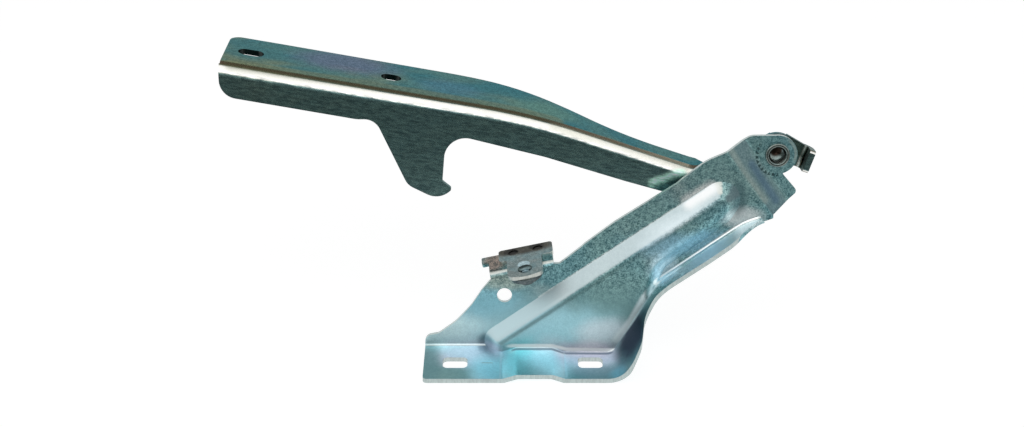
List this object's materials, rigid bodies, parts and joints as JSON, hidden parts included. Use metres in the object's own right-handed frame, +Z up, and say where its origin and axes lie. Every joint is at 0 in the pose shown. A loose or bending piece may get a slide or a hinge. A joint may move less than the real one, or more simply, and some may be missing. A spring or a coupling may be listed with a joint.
{
  "type": "hood hinge",
  "caption": "Stamped steel hood hinge: a pressed body bracket with slotted base flange and a pivoting arm with a flanged top and crash hook.",
  "frame": {"origin": "midway between the two base slots, on the underside of the base flange", "axes": "+X along the base towards the pivot end, +Z up out of the base flange, -Y the side to which the base flange points"},
  "size_m": [0.3542, 0.1282, 0.1715],
  "materials": {
    "bracket_zinc": "zinc plate with blue passivation, slightly mottled",
    "arm_zinc": "zinc plate with blue passivation, satin",
    "nut_plate_zinc": "zinc plate, tinted by welding heat",
    "weld_nut_zinc": "zinc plate, satin",
    "rivet_zinc": "zinc plate, bright where it was rolled",
    "bush_metal": "plain bearing metal, satin",
    "washer_zinc": "zinc plate, satin"
  },
  "bodies": {
    "bracket": {"body_bracket": "bracket_zinc", "pivot_rivet": "rivet_zinc", "rear_washer": "washer_zinc", "nut_plate": "nut_plate_zinc", "weld_nut": "weld_nut_zinc"},
    "arm": {"hood_arm": "arm_zinc", "pivot_bush": "bush_metal"}
  },
  "joints": [
    {"name": "hood_pivot", "type": "hinge", "parent": "bracket", "child": "arm", "pos_m": [0.1523, 0.0536, 0.11811], "axis": [0, -0.9816, 0.1908], "range_deg": [-32, 18]}
  ]
}
